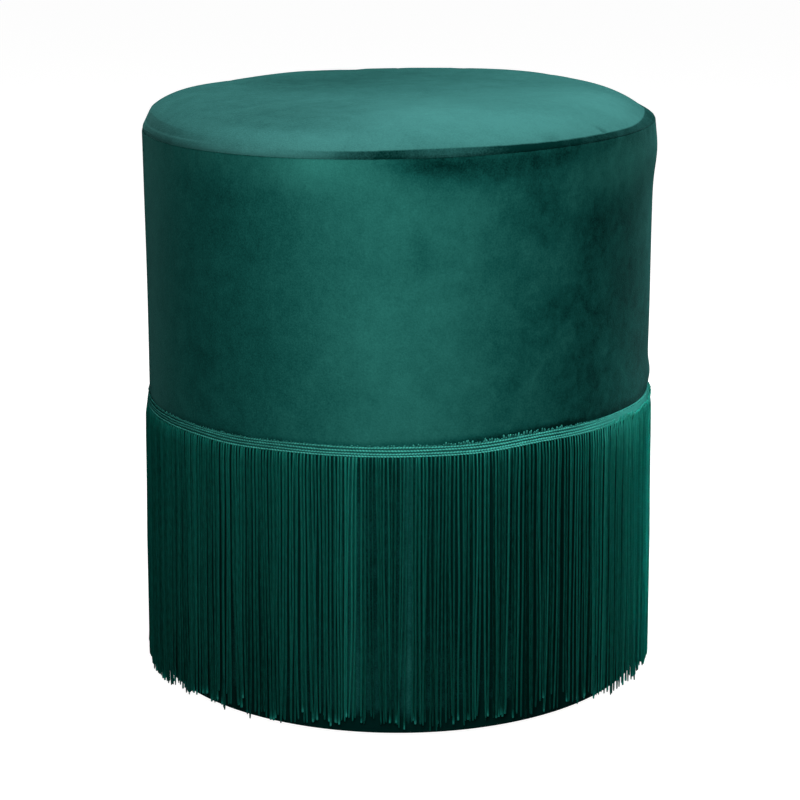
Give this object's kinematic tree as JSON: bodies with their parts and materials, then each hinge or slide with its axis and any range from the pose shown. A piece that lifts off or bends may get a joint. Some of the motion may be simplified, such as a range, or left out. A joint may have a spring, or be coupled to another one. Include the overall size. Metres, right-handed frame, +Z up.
{
  "type": "accent stool",
  "caption": "Round upholstered stool: a velvet-covered timber drum with a crowned seat, a braided heading at mid height and a long fringe hanging from it to the floor.",
  "frame": {"origin": "on the floor, under the middle of the seat", "axes": "+Z up along the drum's axis; -Y towards the viewer of the picture, +X to their right"},
  "size_m": [0.362, 0.362, 0.405],
  "materials": {
    "velvet": "cut-pile velvet, dark teal green, with a brushed nap",
    "fringe_yarn": "silky twisted viscose yarn, dark green",
    "heading_braid": "woven braid of shiny cords, green",
    "foam": "open-cell upholstery foam",
    "plywood": "raw plywood",
    "softwood": "planed softwood",
    "hardboard": "thin bent hardboard",
    "dust_cloth": "black non-woven cloth",
    "glide_plastic": "moulded nylon",
    "screw_steel": "zinc-plated steel"
  },
  "bodies": {
    "root": {"base_board": "plywood", "base_screw_1": "screw_steel", "base_screw_2": "screw_steel", "base_screw_3": "screw_steel", "base_screw_4": "screw_steel", "base_screw_5": "screw_steel", "base_screw_6": "screw_steel", "drum_skin": "hardboard", "dust_cover": "dust_cloth", "fringe_heading": "heading_braid", "fringe_strands": "fringe_yarn", "glide_1": "glide_plastic", "glide_2": "glide_plastic", "glide_3": "glide_plastic", "glide_4": "glide_plastic", "glide_screw_1": "screw_steel", "glide_screw_2": "screw_steel", "glide_screw_3": "screw_steel", "glide_screw_4": "screw_steel", "middle_ring": "plywood", "post_1": "softwood", "post_2": "softwood", "post_3": "softwood", "post_4": "softwood", "post_5": "softwood", "post_6": "softwood", "ring_screw_1": "screw_steel", "ring_screw_2": "screw_steel", "ring_screw_3": "screw_steel", "ring_screw_4": "screw_steel", "ring_screw_5": "screw_steel", "ring_screw_6": "screw_steel", "seat_board": "plywood", "seat_cover": "velvet", "seat_foam": "foam", "seat_screw_1": "screw_steel", "seat_screw_2": "screw_steel", "seat_screw_3": "screw_steel", "seat_screw_4": "screw_steel", "seat_screw_5": "screw_steel", "seat_screw_6": "screw_steel", "side_cover": "velvet", "side_foam": "foam"}
  },
  "joints": []
}
